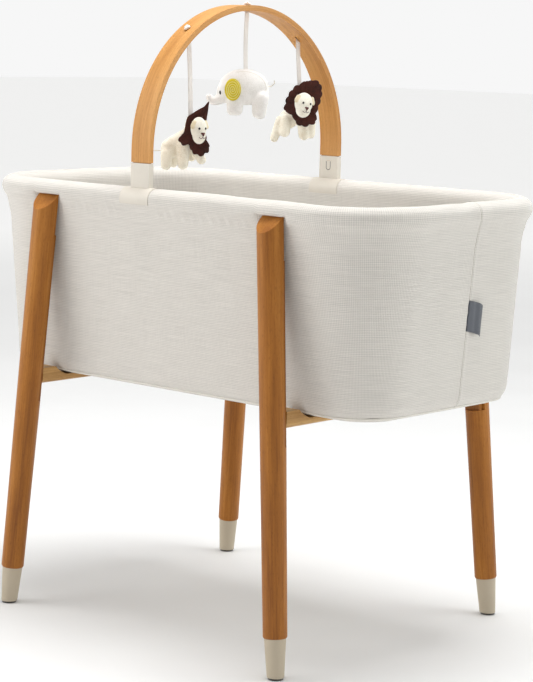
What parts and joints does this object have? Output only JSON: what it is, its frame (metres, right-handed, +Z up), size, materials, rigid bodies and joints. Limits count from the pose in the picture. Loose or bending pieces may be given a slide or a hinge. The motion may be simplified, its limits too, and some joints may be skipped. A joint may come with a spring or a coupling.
{
  "type": "moses basket on stand",
  "caption": "Fabric moses basket with a padded rim, lifted into a four-legged wooden stand, with a clip-on bent-wood arch of hanging soft toys.",
  "frame": {"origin": "on the floor, under the middle of the basket and of the four feet", "axes": "+X along the basket's length, +Y across it to the rear long side, +Z up; the arch stands a little to the -X side of the middle"},
  "size_m": [0.88, 0.568, 1.0057],
  "materials": {
    "beech": "satin lacquer",
    "arch_wood": "satin lacquer",
    "cap_plastic": "matt",
    "glide_felt": "pressed felt",
    "black_rubber": "matt",
    "steel": "zinc plated",
    "foam": "open-cell foam",
    "rim_cloth": "smooth knit",
    "mesh_cloth": "fine slubbed plain weave",
    "liner_cloth": "soft mesh",
    "board": "raw plywood",
    "tag_cloth": "satin ribbon",
    "clip_plastic": "satin",
    "mattress_cloth": "quilted cotton",
    "ribbon": "grosgrain",
    "white_plush": "short velour",
    "yellow_felt": "felt with stitched rings",
    "thread": "twisted thread",
    "cream_plush": "short velour",
    "brown_felt": "felt"
  },
  "bodies": {
    "stand": {"leg_front_right": "beech", "leg_front_left": "beech", "leg_rear_right": "beech", "leg_rear_left": "beech", "batten_front_right": "beech", "batten_front_left": "beech", "batten_rear_right": "beech", "batten_rear_left": "beech", "foot_cap_front_right": "cap_plastic", "foot_cap_front_left": "cap_plastic", "foot_cap_rear_right": "cap_plastic", "foot_cap_rear_left": "cap_plastic", "glide_front_right": "glide_felt", "glide_front_left": "glide_felt", "glide_rear_right": "glide_felt", "glide_rear_left": "glide_felt", "buffer_front_right": "black_rubber", "buffer_front_left": "black_rubber", "buffer_rear_right": "black_rubber", "buffer_rear_left": "black_rubber", "crossbar_right": "beech", "crossbar_left": "beech", "stretcher": "beech", "batten_screws": "steel", "crossbar_bolts": "steel", "barrel_nuts": "steel", "stretcher_dowels": "beech", "foot_screws": "steel"},
    "basket": {"rim_tube": "steel", "rim_pad": "foam", "rim_cover": "rim_cloth", "outer_cover": "mesh_cloth", "wall_foam": "foam", "inner_liner": "liner_cloth", "base_board": "board", "bottom_piping": "rim_cloth", "care_tag": "tag_cloth", "clip_front": "clip_plastic", "clip_rear": "clip_plastic"},
    "release_tab_front": {"release_tab_front": "clip_plastic"},
    "release_tab_rear": {"release_tab_rear": "clip_plastic"},
    "mattress": {"mattress_core": "foam", "mattress_cover": "mattress_cloth"},
    "arch": {"arch": "arch_wood", "strap_knots": "ribbon"},
    "toy_left": {"strap_left": "ribbon", "lion_left_body": "cream_plush", "lion_left_head": "cream_plush", "lion_left_mane": "brown_felt", "lion_left_tail": "thread"},
    "toy_middle": {"strap_middle": "ribbon", "elephant_body": "white_plush", "elephant_ears": "yellow_felt", "elephant_tail": "thread"},
    "toy_right": {"strap_right": "ribbon", "lion_right_body": "cream_plush", "lion_right_head": "cream_plush", "lion_right_mane": "brown_felt", "lion_right_tail": "thread"}
  },
  "joints": [
    {"name": "basket_lift", "type": "slide", "parent": "stand", "child": "basket", "axis": [0, 0, 1], "range_m": [0, 0.33]},
    {"name": "mattress_lift", "type": "slide", "parent": "basket", "child": "mattress", "axis": [0, 0, 1], "range_m": [0, 0.28]},
    {"name": "arch_lift", "type": "slide", "parent": "basket", "child": "arch", "axis": [0, 0, 1], "range_m": [0, 0.06]},
    {"name": "tab_front_flex", "type": "hinge", "parent": "basket", "child": "release_tab_front", "pos_m": [-0.041, -0.224, 0.7418], "axis": [1, 0, 0], "range_deg": [0, 8], "stiffness_Nm_per_rad": 0.05},
    {"name": "tab_rear_flex", "type": "hinge", "parent": "basket", "child": "release_tab_rear", "pos_m": [-0.041, 0.224, 0.7418], "axis": [-1, 0, 0], "range_deg": [0, 8], "stiffness_Nm_per_rad": 0.05},
    {"name": "toy_left_swing", "type": "hinge", "parent": "arch", "child": "toy_left", "pos_m": [-0.041, -0.129, 0.94951], "axis": [0, 1, 0], "range_deg": [-30, 30]},
    {"name": "toy_middle_swing", "type": "hinge", "parent": "arch", "child": "toy_middle", "pos_m": [-0.041, 0.007, 0.99039], "axis": [0, 1, 0], "range_deg": [-30, 30]},
    {"name": "toy_right_swing", "type": "hinge", "parent": "arch", "child": "toy_right", "pos_m": [-0.041, 0.135, 0.94512], "axis": [0, 1, 0], "range_deg": [-30, 30]}
  ]
}
